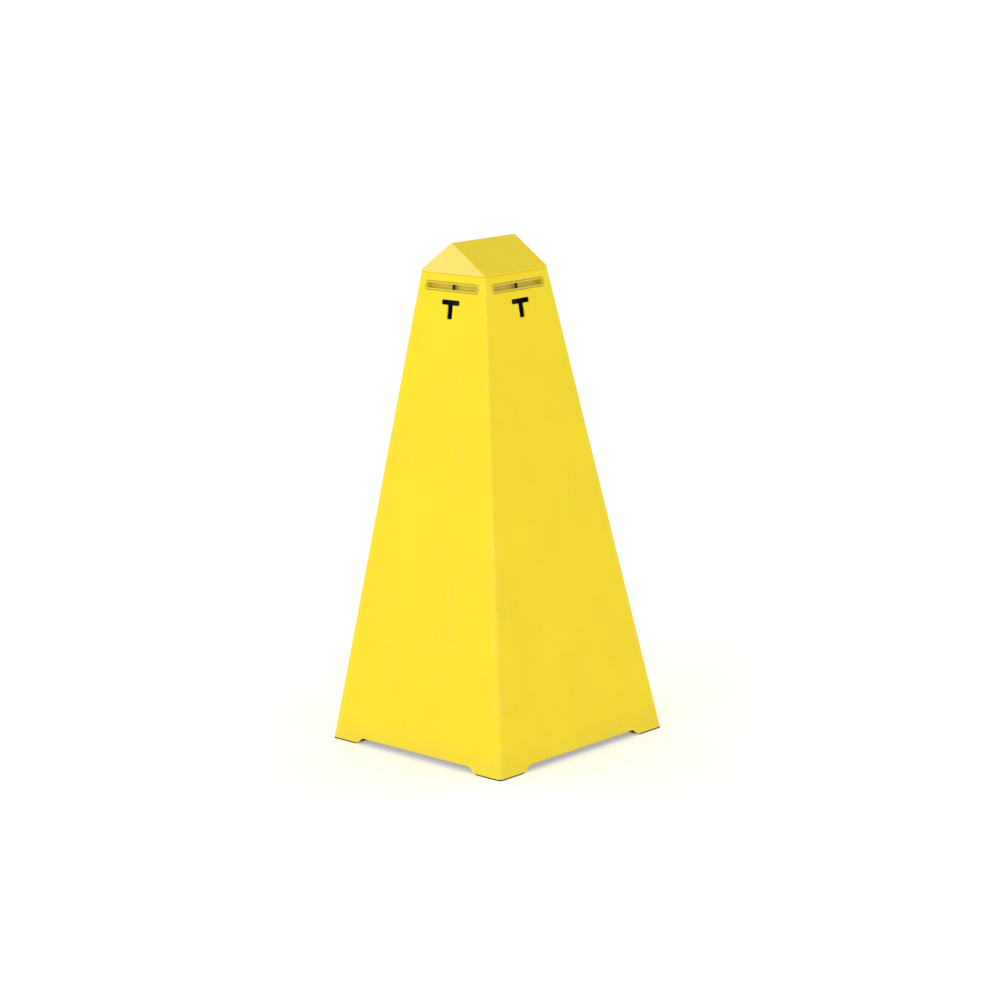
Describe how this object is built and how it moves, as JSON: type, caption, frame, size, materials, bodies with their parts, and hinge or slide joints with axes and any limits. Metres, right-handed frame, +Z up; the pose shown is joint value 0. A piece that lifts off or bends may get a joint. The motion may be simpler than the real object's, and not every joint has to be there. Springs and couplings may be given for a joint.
{
  "type": "plastic chain stanchion",
  "caption": "Four-sided tapering plastic floor stanchion with a gable-roofed cap, pocket inserts with hitch pins and boxed T-slots for barrier chain.",
  "frame": {"origin": "on the floor, under the middle of the roof's ridge", "axes": "+Z up; the ridge runs along X, so the gables face -X and +X and the roof slopes face -Y and +Y; front is -Y"},
  "size_m": [0.43, 0.43, 0.914],
  "materials": {
    "shell_polyethylene": "moulded safety yellow polyethylene, satin",
    "insert_polypropylene": "injection moulded yellow polypropylene, semi-gloss",
    "box_polypropylene": "injection moulded black polypropylene, satin",
    "pad_rubber": "moulded black rubber, matt",
    "ballast_rubber": "recycled crumb rubber, coarse",
    "pin_steel": "black oxide",
    "zinc_steel": "bright zinc plate"
  },
  "bodies": {
    "stanchion": {"shell": "shell_polyethylene", "ballast_ring": "ballast_rubber", "front_pocket_insert": "insert_polypropylene", "front_hitch_pin": "pin_steel", "front_link_box": "box_polypropylene", "right_pocket_insert": "insert_polypropylene", "right_hitch_pin": "pin_steel", "right_link_box": "box_polypropylene", "rear_pocket_insert": "insert_polypropylene", "rear_hitch_pin": "pin_steel", "rear_link_box": "box_polypropylene", "left_pocket_insert": "insert_polypropylene", "left_hitch_pin": "pin_steel", "left_link_box": "box_polypropylene", "front_left_foot_pad": "pad_rubber", "front_left_foot_bolt": "zinc_steel", "front_left_foot_washer": "zinc_steel", "front_left_foot_nut": "zinc_steel", "front_right_foot_pad": "pad_rubber", "front_right_foot_bolt": "zinc_steel", "front_right_foot_washer": "zinc_steel", "front_right_foot_nut": "zinc_steel", "rear_right_foot_pad": "pad_rubber", "rear_right_foot_bolt": "zinc_steel", "rear_right_foot_washer": "zinc_steel", "rear_right_foot_nut": "zinc_steel", "rear_left_foot_pad": "pad_rubber", "rear_left_foot_bolt": "zinc_steel", "rear_left_foot_washer": "zinc_steel", "rear_left_foot_nut": "zinc_steel"},
    "cap": {"roof_cap": "shell_polyethylene"}
  },
  "joints": [
    {"name": "cap_lift", "type": "slide", "parent": "stanchion", "child": "cap", "axis": [0, 0, 1], "range_m": [0, 0.06]}
  ]
}
